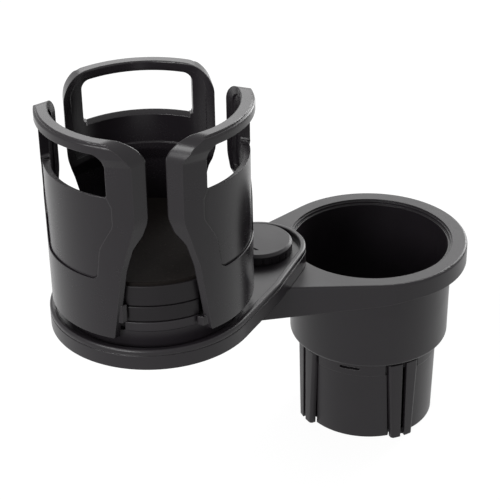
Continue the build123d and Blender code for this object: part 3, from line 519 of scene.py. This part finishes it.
# a new piece's shading and material, the body that it rides on and the node that it stands for
def finishPiece(piece, node):
    activate(piece)
    bpy.ops.object.shade_smooth_by_angle(angle=math.radians(smoothAngle))
    setMaterial(piece, nodeSlot[node])
    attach(piece, nodeBody[node])
    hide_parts(node)
    print("piece finished:", piece.name, len(piece.data.polygons), "faces")


# four pan-head screws with a cross recess, sunk in the sleeve's bottom cover
baseScrew = dict(
    circle=0.0215,
    firstAngle=48.4,
    drivenTurns=3.3,
    count=4,
    headRadius=0.0026,
    headCorners=40,
    headBottom=0.0003,
    shoulder=0.0015,
    threadGap=0.0006,
    tip=0.0106,
    tipLength=0.0012,
    tipShare=0.3,
    crown=0.00055,
    crownSegments=5,
    crownProfile=0.55,
    recessReach=0.0032,
    recessWidth=0.00062,
    recessDepth=0.0008,
    recessPast=0.0002,
    recessTaper=0.7,
    thread=dict(root=0.00092, crest=0.0012, pitch=0.00095, toothShare=0.55, steps=20),
)


def makeBaseScrew(look):
    head = addCylinder(look["headCorners"], look["headRadius"], look["headBottom"], look["shoulder"])
    pickFaces(head, looksUp)
    bpy.ops.mesh.inset(thickness=look["headRadius"] - look["thread"]["root"])
    extrudeUp(look["tip"] - look["tipLength"] - look["shoulder"])
    extrudeUp(look["tipLength"])
    bpy.ops.transform.resize(value=(look["tipShare"], look["tipShare"], 1))
    pickEdges(head, lambda spot: spot.z < look["headBottom"] + hair)
    bpy.ops.mesh.bevel(offset=look["crown"], segments=look["crownSegments"], profile=look["crownProfile"])
    bpy.ops.object.mode_set(mode="OBJECT")
    middle = look["headBottom"] + look["recessDepth"] / 2 - look["recessPast"] / 2
    for turn in (0, math.pi / 2):
        selectNothing()
        bpy.ops.mesh.primitive_cube_add(size=1, location=(0, 0, middle), rotation=(0, 0, turn))
        reach, width = look["recessReach"], look["recessWidth"]
        bpy.context.active_object.scale = (reach, width, look["recessDepth"] + look["recessPast"])
        bar = settle()
        pickFaces(bar, looksUp)
        bpy.ops.transform.resize(value=(look["recessTaper"], look["recessTaper"], 1))
        bpy.ops.object.mode_set(mode="OBJECT")
        combine(head, bar, "DIFFERENCE")
    thread = addThread(look["thread"], look["shoulder"] + look["threadGap"], look["tip"] - look["tipLength"])
    return joinPieces([head, thread], "baseScrew")


firstScrew = makeBaseScrew(baseScrew)
screws = []
for i in range(baseScrew["count"]):
    angle = math.radians(baseScrew["firstAngle"] + 360 * i / baseScrew["count"])
    screw = firstScrew.copy()
    screw.data = firstScrew.data.copy()
    bpy.context.scene.collection.objects.link(screw)
    spot = Vector((math.cos(angle), math.sin(angle), 0)) * baseScrew["circle"]
    drivenTurn = Matrix.Rotation(angle * baseScrew["drivenTurns"], 4, "Z")
    screw.data.transform(Matrix.Translation(spot) @ drivenTurn)
    screws.append(screw)
bpy.data.objects.remove(firstScrew)
finishPiece(joinPieces(screws, "baseScrews"), "bottom_screws")

swivelAxis = (-0.0572, 0.0)

# the swivel's nut, held in the arm
swivelNut = dict(
    place=swivelAxis,
    width=0.010,
    bottom=0.0798,
    top=0.0848,
    chamfer=0.00062,
    bore=0.00305,
    boreCorners=48,
    boreChamfer=0.00035,
    coneTip=0.9,  # of the bore's radius
    coneOut=0.98,  # of the bore's chamfer
)


def makeSwivelNut(look):
    ends = (look["bottom"], look["top"])
    nut = addHexagon(look["place"], look["width"], *ends, look["chamfer"], ends)
    for end, way in zip(ends, (1, -1)):
        selectNothing()
        bpy.ops.mesh.primitive_cone_add(
            vertices=look["boreCorners"],
            radius1=look["bore"] + look["boreChamfer"],
            radius2=look["bore"] * look["coneTip"],
            depth=2 * look["boreChamfer"],
            location=(*look["place"], end + way * look["boreChamfer"] * look["coneOut"]),
            rotation=(0 if way > 0 else math.pi, 0, 0),
        )
        combine(nut, settle(), "DIFFERENCE")
    past = look["boreChamfer"]
    low, high = look["bottom"] - past, look["top"] + past
    combine(nut, addCylinder(look["boreCorners"], look["bore"], low, high, look["place"]), "DIFFERENCE")
    nut.name = "swivelNut"
    return nut


finishPiece(makeSwivelNut(swivelNut), "swivel_nut")

# the knob's hexagon-headed bolt, whose thread shows under the arm
knobBolt = dict(
    place=swivelAxis,
    width=0.010,
    headBottom=0.0989,
    headTop=0.1021,
    headChamfer=0.0005,
    headOverlap=0.0005,
    radius=0.003,
    corners=48,
    tip=0.0783,
    tipChamfer=0.0006,
    tipSegments=2,
    threadTop=0.0905,
    thread=dict(root=0.00262, crest=0.0030, pitch=0.0010, toothShare=0.8, steps=32),
)


def makeKnobBolt(look):
    place = look["place"]
    root = look["thread"]["root"]
    shank = addCylinder(look["corners"], root, look["tip"], look["threadTop"], place)
    pickEdges(shank, lambda spot: spot.z < look["tip"] + hair)
    bpy.ops.mesh.bevel(offset=look["tipChamfer"], segments=look["tipSegments"])
    pickFaces(shank, looksUp)
    runout = look["radius"] - root
    extrudeUp(runout)
    widen = look["radius"] / root
    bpy.ops.transform.resize(value=(widen, widen, 1), center_override=(*place, look["threadTop"]))
    extrudeUp(look["headBottom"] - look["threadTop"] - runout + look["headOverlap"])
    ends = (look["headBottom"], look["headTop"])
    head = addHexagon(place, look["width"], *ends, look["headChamfer"], ends[1:])
    combine(shank, head, "UNION")
    thread = addThread(look["thread"], look["tip"] + look["tipChamfer"], look["threadTop"], place)
    return joinPieces([shank, thread], "knobBolt")


finishPiece(makeKnobBolt(knobBolt), "knob_bolt")

# camera at the photograph's place
camera = dict(
    place=(-0.30292, -0.58923, 0.46057),
    along=(0.33040, 0.80445, -0.49365),
    roll=-0.925,
    lens=116.5,
    sensor=36,
    clipStart=0.01,
)
cameraData = bpy.data.cameras.new("camera")
cameraObject = bpy.data.objects.new("camera", cameraData)
bpy.context.scene.collection.objects.link(cameraObject)
cameraData.lens = camera["lens"]
cameraData.sensor_width = camera["sensor"]
cameraData.sensor_fit = "HORIZONTAL"
cameraData.clip_start = camera["clipStart"]
aim = Vector(camera["along"]).to_track_quat("-Z", "Y").to_matrix().to_4x4()
roll = Matrix.Rotation(math.radians(camera["roll"]), 4, "Z")
cameraObject.matrix_world = Matrix.Translation(camera["place"]) @ aim @ roll
bpy.context.scene.camera = cameraObject


# white where it is seen, mirrored or looked through, and a grey for all other light
def whiteWhereSeen(paint, restLevel):
    seen = paint.node("ShaderNodeLightPath", {}, {}, "Is Camera Ray")
    mirrored = paint.node("ShaderNodeLightPath", {}, {}, "Is Glossy Ray")
    through = paint.node("ShaderNodeLightPath", {}, {}, "Is Transmission Ray")
    return mixColours(paint, seen | mirrored | through, (restLevel, restLevel, restLevel), (1, 1, 1))


# white surroundings
studio = dict(lightLevel=0.20)
world = bpy.data.worlds.new("studio")
bpy.context.scene.world = world
world.use_nodes = True
sky = ShaderValue(world.node_tree)
surroundings = whiteWhereSeen(sky, studio["lightLevel"])
connect(sky.tree, world.node_tree.nodes["Background"], {"Color": surroundings})

# soft boxes, most of them aimed at the middle of the part
middle = (-0.06, 0, 0.1)
lights = {
    "keySoftbox": dict(place=(-0.9, -0.2, 0.9), aim=middle, size=(0.3, 0.4), power=4.6),
    "rimSoftbox": dict(place=(0.8, 0.5, 0.5), aim=middle, size=(0.4, 0.8), power=8),
    "backSoftbox": dict(place=(0.4, 1.0, 0.75), aim=middle, size=(1.0, 0.5), power=3.5),
    "sideSoftbox": dict(place=(-1.0, -0.78, 0.50), aim=(-0.12, -0.06, 0.14), size=(0.4, 0.4), power=9),
}
for name, box in lights.items():
    lamp = bpy.data.lights.new(name, "AREA")
    lamp.shape = "RECTANGLE"
    lamp.size, lamp.size_y = box["size"]
    lamp.energy = box["power"]
    softbox = bpy.data.objects.new(name, lamp)
    bpy.context.scene.collection.objects.link(softbox)
    way = Vector(box["aim"]) - Vector(box["place"])
    turn = way.to_track_quat("-Z", "Y").to_matrix().to_4x4()
    softbox.matrix_world = Matrix.Translation(box["place"]) @ turn

# white floor that keeps the object's shadow
floorLook = dict(
    size=8,
    drop=0.0002,
    tone=(0.10, 0.10, 0.10),
    glow=0.95,
    roughness=0.9,
    gloss=0.0,
)
bpy.ops.mesh.primitive_plane_add(size=floorLook["size"], location=(0, 0, -floorLook["drop"]))
floor = bpy.context.active_object
floor.name = "floor"
floorMaterial, floorPaint, floorShader = newMaterial("floorWhite")
floorSockets = {
    "Base Color": (*floorLook["tone"], 1),
    "Roughness": floorLook["roughness"],
    "Specular IOR Level": floorLook["gloss"],
    "Emission Color": whiteWhereSeen(floorPaint, 0),
    "Emission Strength": floorLook["glow"],
}
connect(floorPaint.tree, floorShader, floorSockets)
floor.data.materials.append(floorMaterial)
bpy.context.scene.view_settings.view_transform = "Standard"
print("studio made")
